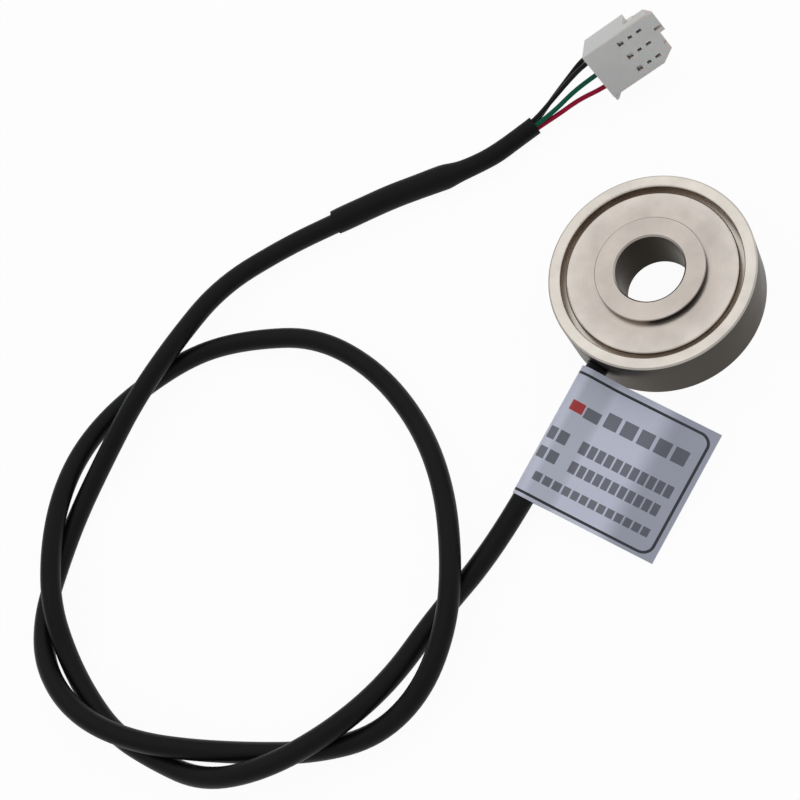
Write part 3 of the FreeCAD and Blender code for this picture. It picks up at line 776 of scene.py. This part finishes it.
# %% [markdown]
# ### Bars of print
#
# The label's print is plain bars where lines of print would be, inside a thin frame. An image would
# have to be stored, but a bar with round corners is a short sum: how far a point is past the bar's
# edges, less its corners, in u and in v, and whether that is within the corner's radius. With a pitch
# the bar breaks up into blocks. One node group gives a bar's mask from its edges on the print map.

# %% Bar group
BLOCK_FILL = 0.8
bar_values = ("Left", "Right", "Top", "Bottom", "Corner", "Pitch")
bar_group, bar_in, bar_out = new_group(
    "bar", {"Map": "Vector", **dict.fromkeys(bar_values, "Float")}, {"Mask": "Float"})
axes = node(bar_group, "ShaderNodeSeparateXYZ", {0: bar_in.outputs["Map"]})


def past_edge(low, high, value):
    """How far a value is outside the band from low to high, less the corners."""
    middle = math_node(bar_group, "MULTIPLY", math_node(bar_group, "ADD", low, high), 0.5)
    half = math_node(bar_group, "MULTIPLY", math_node(bar_group, "SUBTRACT", high, low), 0.5)
    half = math_node(bar_group, "SUBTRACT", half, bar_in.outputs["Corner"])
    off_middle = math_node(bar_group, "ABSOLUTE", math_node(bar_group, "SUBTRACT", value, middle))
    return math_node(bar_group, "MAXIMUM", math_node(bar_group, "SUBTRACT", off_middle, half), 0.0)


# %% Bar mask
past_u = past_edge(bar_in.outputs["Left"], bar_in.outputs["Right"], axes.outputs[0])
past_v = past_edge(bar_in.outputs["Top"], bar_in.outputs["Bottom"], axes.outputs[1])
u_squared = math_node(bar_group, "MULTIPLY", past_u, past_u)
v_squared = math_node(bar_group, "MULTIPLY", past_v, past_v)
away = math_node(bar_group, "SQRT", math_node(bar_group, "ADD", u_squared, v_squared))
inside = math_node(bar_group, "LESS_THAN", away, bar_in.outputs["Corner"])
from_left = math_node(bar_group, "SUBTRACT", axes.outputs[0], bar_in.outputs["Left"])
step = math_node(bar_group, "DIVIDE", from_left, bar_in.outputs["Pitch"])
filled = math_node(bar_group, "LESS_THAN", math_node(bar_group, "FRACT", step), BLOCK_FILL)
bar_group.links.new(math_node(bar_group, "MULTIPLY", inside, filled), bar_out.inputs["Mask"])
print("bar group:", len(bar_group.nodes), "nodes")

# %% [markdown]
# The frame is a bar with a smaller bar taken out, and it is open towards the cable. Each row of print
# is given by its left, right, top and bottom on the map and by its number of blocks.

# %% Label print
ONE_BLOCK = 10.0
FRAME_OUTER = (-0.2, 0.968, 0.042, 0.975, 0.085)
FRAME_INNER = (-0.3, 0.949, 0.061, 0.956, 0.067)
FRAME_OPENS = -0.05
ROW_CORNER = 0.006
label_finish, tree, shader = new_finish("label_film")
print_uv = node(tree, "ShaderNodeUVMap", uv_map="print").outputs[0]
across = node(tree, "ShaderNodeSeparateXYZ", {0: print_uv}).outputs[0]


def bar(left, right, top, bottom, corner=0.004, blocks=0):
    """Mask of a bar on the label, whole or in blocks."""
    pitch = (right - left) / (blocks - 1 + BLOCK_FILL) if blocks else ONE_BLOCK
    return node(tree, "ShaderNodeGroup", {
        "Map": print_uv, "Left": left, "Right": right, "Top": top, "Bottom": bottom, "Corner": corner,
        "Pitch": pitch}, node_tree=bar_group).outputs[0]


print_rows = (
    (0.18, 0.275, 0.245, 0.325, 0), (0.306, 0.883, 0.205, 0.315, 5), (0.036, 0.17, 0.465, 0.555, 2),
    (0.25, 0.9, 0.465, 0.555, 11), (0.033, 0.17, 0.618, 0.703, 2), (0.25, 0.88, 0.618, 0.703, 11),
    (0.093, 0.894, 0.795, 0.858, 13),
)
ink = 0.0
for left, right, top, bottom, blocks in print_rows:
    ink = math_node(tree, "MAXIMUM", ink, bar(left, right, top, bottom, ROW_CORNER, blocks))
outline = math_node(tree, "SUBTRACT", bar(*FRAME_OUTER), bar(*FRAME_INNER))
kept_side = math_node(tree, "GREATER_THAN", across, FRAME_OPENS)
frame_line = math_node(tree, "MULTIPLY", outline, kept_side)
print("rows of print:", len(print_rows))

# %% [markdown]
# ### Label film
#
# The film is a bluish white with a faint cloud. Where it comes off the cable and its plies meet, a soft
# fold gets painted shade, and so does the outer third, as if it bent away from the light. The sheet
# could be bent for both, but they are so shallow that bands of painted shade across the print map do
# better. A pair of numbers says where on the map a band begins to come or go, and where that is done.

# %% Label film
FILM_CLOUD = 90.0
FILM_CLOUD_DETAIL = 3.0
FILM_TONES = ((0.462, 0.477, 0.59, 1), (0.546, 0.562, 0.66, 1))
# Colours of the painted shade on the fold and on the outer third.
FOLD_PAINTED_SHADE = (0.32, 0.35, 0.4, 1)
CURL_PAINTED_SHADE = (0.012, 0.012, 0.03, 1)
FOLD_SHADE_START = (0.07, 0.13)
FOLD_SHADE_END = (0.24, 0.3)
FOLD_SHADE_STRENGTH = 0.5
CURL_SHADE_START = (0.58, 0.75)
CURL_SHADE_STRENGTH = 0.42
place = node(tree, "ShaderNodeTexCoord").outputs["Object"]
cloud = node(tree, "ShaderNodeGroup", {
    "Place": place, "Cloud Scale": FILM_CLOUD, "Cloud Detail": FILM_CLOUD_DETAIL,
}, node_tree=uneven).outputs["Cloud"]
# Painted shade in two bands: one over the fold, and one over the outer third.
fold_shade_start = map_range(tree, across, *FOLD_SHADE_START, kind="SMOOTHSTEP")
fold_shade_end = map_range(tree, across, *FOLD_SHADE_END, kind="SMOOTHSTEP")
fold_painted_shade = math_node(tree, "MULTIPLY", math_node(tree, "SUBTRACT", fold_shade_start, fold_shade_end), FOLD_SHADE_STRENGTH)
curl_painted_shade = map_range(tree, across, *CURL_SHADE_START, to_high=CURL_SHADE_STRENGTH, kind="SMOOTHSTEP")
paper_with_painted_shade = mix_colour(tree, fold_painted_shade, mix_colour(tree, cloud, *FILM_TONES), FOLD_PAINTED_SHADE)
print("label:", len(tree.nodes), "nodes so far")

# %% Inks and painted shade on the film
RED_INK = (0.35, 0.02, 0.02, 1)
DARK_INK = (0.012, 0.012, 0.022, 1)
FRAME_INK = (0.006, 0.006, 0.012, 1)
INK_STRENGTH = 0.75
RED_BLOCK = (0.085, 0.17, 0.24, 0.315)
FILM_ROUGHNESS = 0.45
FILM_BUMP = 0.1
FILM_BUMP_DEPTH = 0.2
paper_with_painted_shade = mix_colour(tree, bar(*RED_BLOCK), paper_with_painted_shade, RED_INK)
print_with_painted_shade = mix_colour(tree, math_node(tree, "MULTIPLY", ink, INK_STRENGTH), paper_with_painted_shade, DARK_INK)
print_with_painted_shade = mix_colour(tree, frame_line, print_with_painted_shade, FRAME_INK)
# Painted shade over the outer third of the film, laid over the print as well.
print_with_painted_shade = mix_colour(tree, curl_painted_shade, print_with_painted_shade, CURL_PAINTED_SHADE)
tree.links.new(print_with_painted_shade, shader.inputs["Base Color"])
tree.links.new(bump_normal(tree, cloud, FILM_BUMP, FILM_BUMP_DEPTH), shader.inputs["Normal"])
shader.inputs["Roughness"].default_value = FILM_ROUGHNESS
dress([label], label_finish)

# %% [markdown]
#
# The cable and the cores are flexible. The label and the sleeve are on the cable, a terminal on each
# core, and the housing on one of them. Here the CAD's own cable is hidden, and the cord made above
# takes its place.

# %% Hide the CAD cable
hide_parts("cable")
print("cords:", 1 + len(cores))

# %% [markdown]
# ## Floor and light
#
# The photograph has a plain white ground. A white floor under a lamp is never evenly white, so this
# one glows for the camera and in reflections, and only a small share of it stays a plain surface, which
# keeps a faint shadow.

# %% Floor
FLOOR_GLOW = 0.95
bpy.ops.object.select_all(action="DESELECT")
bpy.ops.mesh.primitive_plane_add(size=6, location=(0, 0, -0.0001))
floor = bpy.context.object
floor.name = "floor"
floor_finish = bpy.data.materials.new("floor_white")
floor_finish.use_nodes = True
tree = floor_finish.node_tree
tree.nodes.clear()
diffuse = node(tree, "ShaderNodeBsdfDiffuse", {"Color": (0.8, 0.8, 0.8, 1)})
glow = node(tree, "ShaderNodeEmission", {"Color": (1, 1, 1, 1), "Strength": 1.0})
path = node(tree, "ShaderNodeLightPath")
shown = math_node(tree, "MAXIMUM", path.outputs["Is Camera Ray"], path.outputs["Is Glossy Ray"])
seen = math_node(tree, "MULTIPLY", shown, FLOOR_GLOW)
mixed = node(tree, "ShaderNodeMixShader", {0: seen, 1: diffuse.outputs[0], 2: glow.outputs[0]})
output = tree.nodes.new("ShaderNodeOutputMaterial")
tree.links.new(mixed.outputs[0], output.inputs["Surface"])
dress([floor], floor_finish)

# %% [markdown]
# The room is a soft and slightly cool white that fills the shadows, and plain white where the camera
# sees it. An image of a studio would be more lively, but it would have to be stored with the scene.

# %% World
ROOM_LIGHT = 0.7
world = bpy.data.worlds.new("studio")
bpy.context.scene.world = world
world.use_nodes = True
tree = world.node_tree
tree.nodes.clear()
path = node(tree, "ShaderNodeLightPath")
soft = node(tree, "ShaderNodeBackground", {"Color": (0.97, 0.985, 1.0, 1), "Strength": ROOM_LIGHT})
white = node(tree, "ShaderNodeBackground", {"Color": (1, 1, 1, 1), "Strength": 1.0})
mixed = node(tree, "ShaderNodeMixShader", {
    0: path.outputs["Is Camera Ray"], 1: soft.outputs[0], 2: white.outputs[0]})
output = tree.nodes.new("ShaderNodeOutputWorld")
tree.links.new(mixed.outputs[0], output.inputs["Surface"])
print("room light:", ROOM_LIGHT)

# %% [markdown]
# One large lamp above and a weaker one from the side light the steel softly. Their places are in
# metres and their power is in watts.

# %% Lamps
def lamp(name, place, aim, size, power):
    data = bpy.data.lights.new(name, "AREA")
    data.size = size
    data.energy = power
    made = bpy.data.objects.new(name, data)
    bpy.context.scene.collection.objects.link(made)
    made.location = place
    made.rotation_euler = (Vector(aim) - Vector(place)).to_track_quat("-Z", "Y").to_euler()
    print(name, "with", power, "W")


lamp("key_above", (0.2, 0.35, 0.8), (-0.03, 0.02, 0), 1.4, 2.4)
lamp("fill_side", (0.7, -0.3, 0.35), (0, 0, 0), 0.5, 0.5)
bpy.context.scene.view_settings.view_transform = "Standard"
